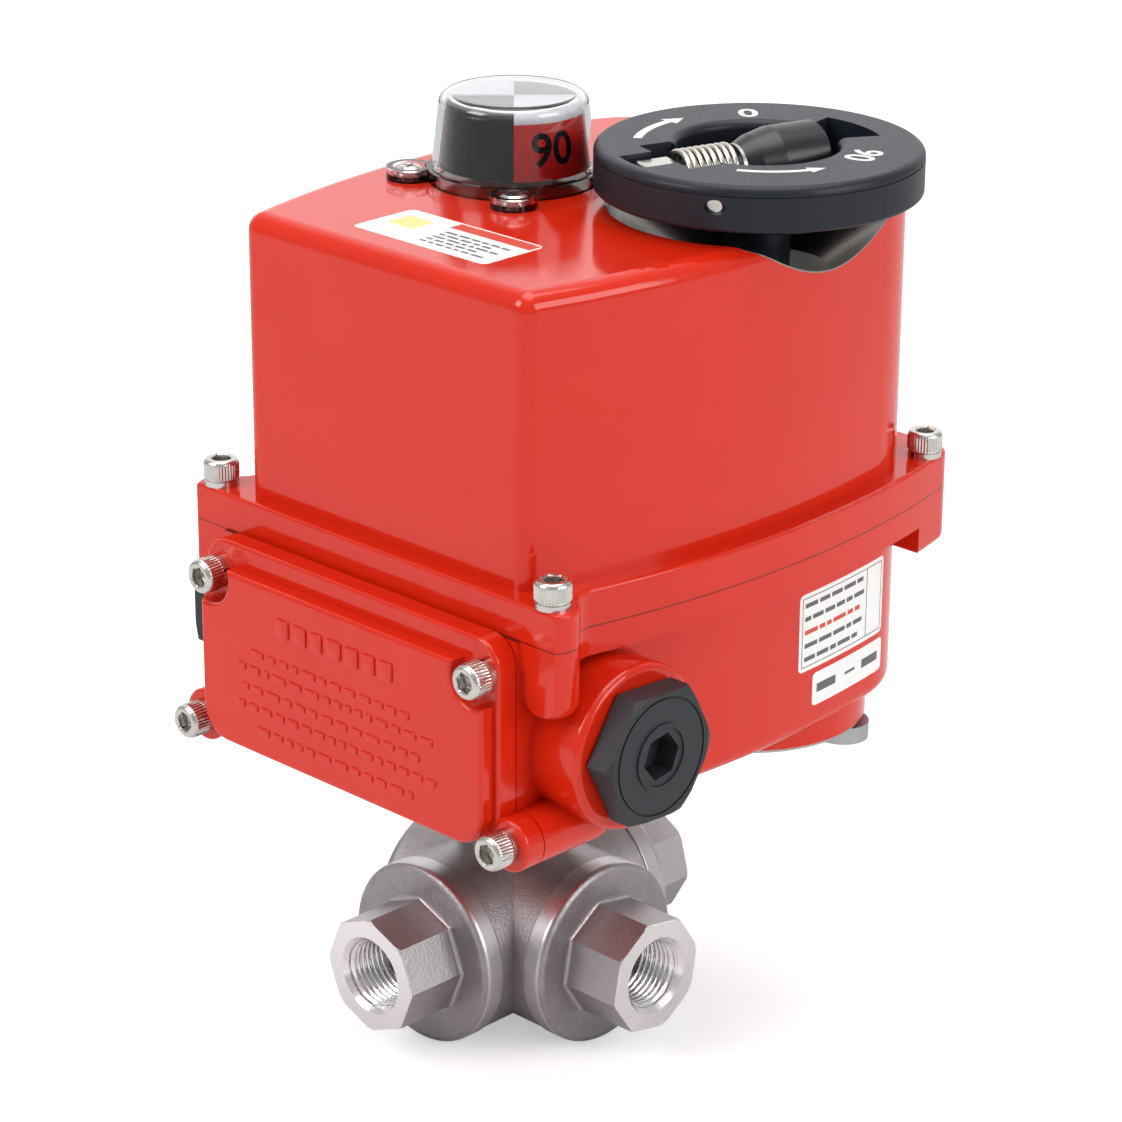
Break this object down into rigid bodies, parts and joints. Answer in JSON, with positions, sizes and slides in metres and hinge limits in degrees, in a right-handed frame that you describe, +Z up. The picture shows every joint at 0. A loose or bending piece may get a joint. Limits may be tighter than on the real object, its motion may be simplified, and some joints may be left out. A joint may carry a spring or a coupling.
{
  "type": "motorized valve actuator",
  "caption": "Electric quarter-turn valve actuator with a hand wheel and a position dome, on a threaded three-way ball valve.",
  "frame": {"origin": "the point where the axes of the valve's ports cross the axis of its stem", "axes": "+Z up along the stem and output shaft, +Y along the rear port, away from the terminal cover, +X along the branch port"},
  "size_m": [0.1664, 0.1873, 0.2781],
  "materials": {
    "red_enamel": "gloss",
    "screw_steel": "satin",
    "cast_stainless": "satin",
    "plug_plastic": "matte",
    "wheel_plastic": "satin",
    "grip_plastic": "satin",
    "clear_plastic": "gloss",
    "drum_black": "satin",
    "drum_red": "satin",
    "seal_rubber": "matte",
    "gear_steel": "satin",
    "plate_steel": "satin",
    "bronze": "satin",
    "motor_metal": "satin",
    "terminal_plastic": "satin",
    "switch_plastic": "matte",
    "capacitor_plastic": "satin",
    "cam_plastic": "satin",
    "seat_plastic": "matte",
    "spring_steel": "gloss"
  },
  "bodies": {
    "casing": {"housing": "red_enamel", "cover": "red_enamel", "cover_gasket": "seal_rubber", "cover_screws": "screw_steel", "cover_spring_washers": "screw_steel", "terminal_cover": "red_enamel", "terminal_cover_gasket": "seal_rubber", "terminal_cover_screws": "screw_steel", "terminal_cover_washers": "screw_steel", "terminal_block": "terminal_plastic", "conduit_plugs": "plug_plastic", "conduit_gaskets": "seal_rubber", "gear_plate": "plate_steel", "gear_plate_screws": "screw_steel", "shaft_bushes": "bronze", "intermediate_axle": "gear_steel", "motor_gearhead": "motor_metal", "motor_can": "motor_metal", "motor_screws": "screw_steel", "motor_capacitor": "capacitor_plastic", "capacitor_clip": "plate_steel", "switch_bracket": "plate_steel", "limit_switches": "switch_plastic", "heater": "motor_metal", "indicator_dome": "clear_plastic", "dome_screws": "screw_steel", "dome_washers": "screw_steel", "boss_plate": "plate_steel", "valve_body": "cast_stainless", "end_cap_front": "cast_stainless", "end_cap_branch": "cast_stainless", "end_cap_rear": "cast_stainless", "ball_seats": "seat_plastic", "stem_packing": "seat_plastic", "gland_nut": "gear_steel", "mounting_bolts": "screw_steel"},
    "output": {"output_shaft": "gear_steel", "output_gear": "gear_steel", "switch_cams": "cam_plastic", "indicator_shaft": "gear_steel", "indicator_drum": "drum_black", "indicator_red_sectors": "drum_red", "valve_ball": "screw_steel", "valve_stem": "gear_steel"},
    "intermediate": {"intermediate_gear": "gear_steel"},
    "motor_rotor": {"motor_shaft": "gear_steel", "motor_pinion": "gear_steel"},
    "hand_drive": {"handwheel": "wheel_plastic", "handwheel_shaft": "gear_steel", "handwheel_pinion": "gear_steel", "crank_pin": "spring_steel"},
    "crank": {"crank_arm": "spring_steel", "crank_spring": "spring_steel"},
    "sleeve": {"grip_sleeve": "spring_steel"},
    "grip": {"crank_grip": "grip_plastic"},
    "declutch": {"declutch_shaft": "gear_steel", "declutch_lever": "plate_steel", "declutch_cam": "gear_steel"}
  },
  "joints": [
    {"name": "output_turn", "type": "hinge", "parent": "casing", "child": "output", "pos_m": [0, 0, 0.1], "axis": [0, 0, 1], "range_deg": [0, 90]},
    {"name": "intermediate_turn", "type": "hinge", "parent": "casing", "child": "intermediate", "pos_m": [0.03309, 0.01139, 0.1], "axis": [0, 0, 1], "range_deg": [-360, 0]},
    {"name": "motor_turn", "type": "hinge", "parent": "casing", "child": "motor_rotor", "pos_m": [0.06692, -0.00092, 0.105], "axis": [0, 0, 1], "range_deg": [0, 1491.43]},
    {"name": "handwheel_turn", "type": "hinge", "parent": "casing", "child": "hand_drive", "pos_m": [0.06461, 0.02879, 0.2], "axis": [0, 0, 1], "range_deg": [0, 1491.43]},
    {"name": "crank_fold", "type": "hinge", "parent": "hand_drive", "child": "crank", "pos_m": [0.05568, -0.00277, 0.2369], "axis": [0.9622, -0.2723, 0], "range_deg": [0, 90]},
    {"name": "crank_pull", "type": "slide", "parent": "crank", "child": "sleeve", "axis": [-0.2723, -0.9622, 0], "range_m": [0, 0.004], "stiffness_N_per_m": 1500, "deforming": ["crank_spring"]},
    {"name": "grip_spin", "type": "hinge", "parent": "sleeve", "child": "grip", "pos_m": [0.06548, 0.03187, 0.2369], "axis": [0.2723, 0.9622, 0], "continuous": true},
    {"name": "declutch_swing", "type": "hinge", "parent": "casing", "child": "declutch", "pos_m": [0.056, 0.044, 0.07], "axis": [0, 0, 1], "range_deg": [0, 50]}
  ],
  "couplings": [
    {"joint": "intermediate_turn", "follows": "output_turn", "ratio": -4},
    {"joint": "motor_turn", "follows": "output_turn", "ratio": 16.571},
    {"joint": "handwheel_turn", "follows": "output_turn", "ratio": 16.571}
  ]
}
